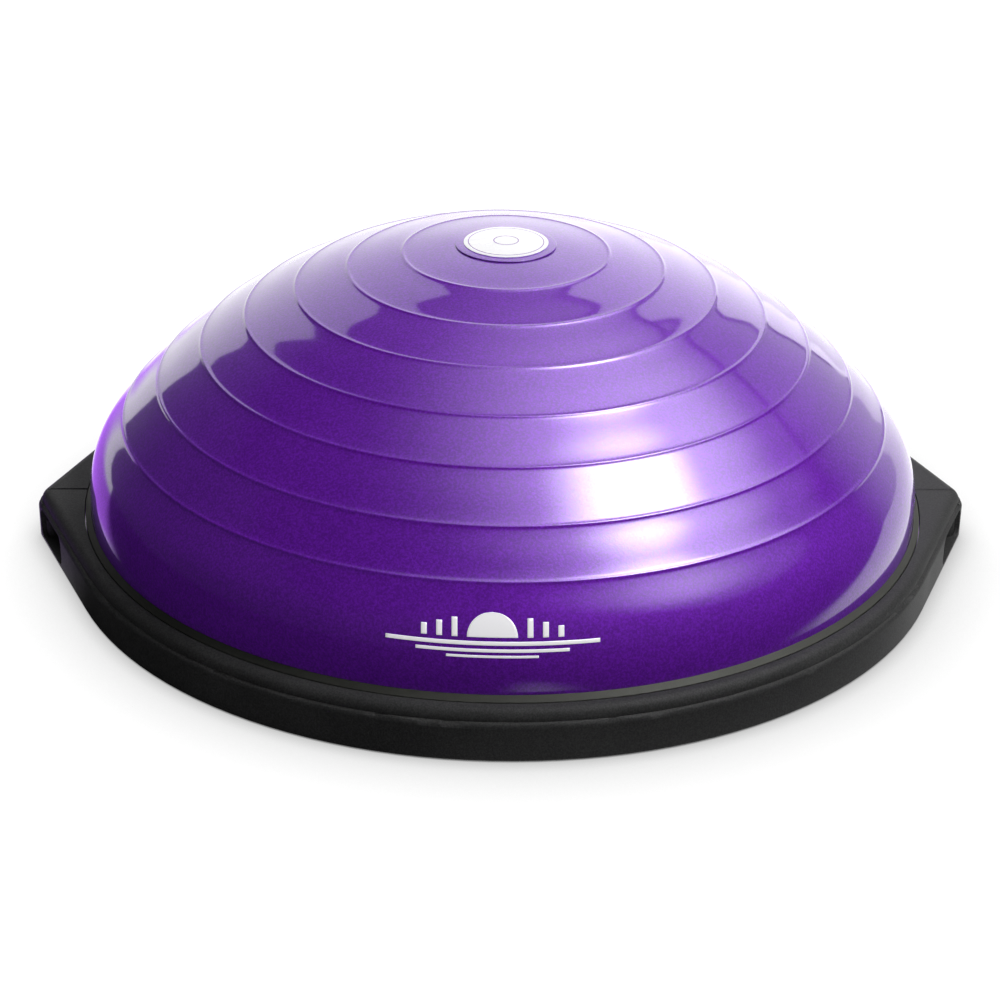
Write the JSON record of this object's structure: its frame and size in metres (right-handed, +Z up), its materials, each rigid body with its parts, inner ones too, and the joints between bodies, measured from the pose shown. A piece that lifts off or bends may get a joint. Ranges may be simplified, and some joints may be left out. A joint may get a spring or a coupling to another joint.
{
  "type": "balance dome trainer",
  "caption": "Air-filled half-ball dome with raised rings, clamped on a rigid round platform with two pointed side grips, rubber feet and a pull-out valve stopper.",
  "frame": {"origin": "middle of the round platform, at floor level under the rubber feet", "axes": "+Z up through the top of the dome, +X towards one side grip, +Y towards the rear half of the rim"},
  "size_m": [0.699, 0.65, 0.2375],
  "materials": {
    "dome_skin": "glossy moulded vinyl with a fine grain",
    "label": "smooth printed label",
    "membrane": "soft moulded vinyl",
    "bead": "satin",
    "deck": "moulded, matte",
    "platform": "moulded grain, satin",
    "stopper": "semi-gloss moulded",
    "screw": "zinc plated",
    "foot": "matte"
  },
  "bodies": {
    "platform": {"base_pan": "platform", "grip_right": "platform", "grip_left": "platform", "inner_deck": "deck", "bottom_sheet": "membrane", "dome_skin": "dome_skin", "bead_hoop": "bead", "rim_front": "platform", "rim_rear": "platform", "rim_screws_front": "screw", "rim_screws_rear": "screw", "valve_cup": "platform", "valve_seat": "membrane", "foot_1": "foot", "foot_2": "foot", "foot_3": "foot", "foot_4": "foot", "foot_5": "foot", "foot_6": "foot", "foot_7": "foot", "foot_8": "foot"},
    "crown": {"crown_pad": "dome_skin", "crown_label": "label"},
    "plug": {"valve_plug": "stopper"}
  },
  "joints": [
    {"name": "dome_press", "type": "slide", "parent": "platform", "child": "crown", "axis": [0, 0, -1], "range_m": [0, 0.06], "stiffness_N_per_m": 10000, "deforming": ["dome_skin"]},
    {"name": "plug_pull", "type": "slide", "parent": "platform", "child": "plug", "axis": [0, 0, -1], "range_m": [0, 0.022]}
  ]
}
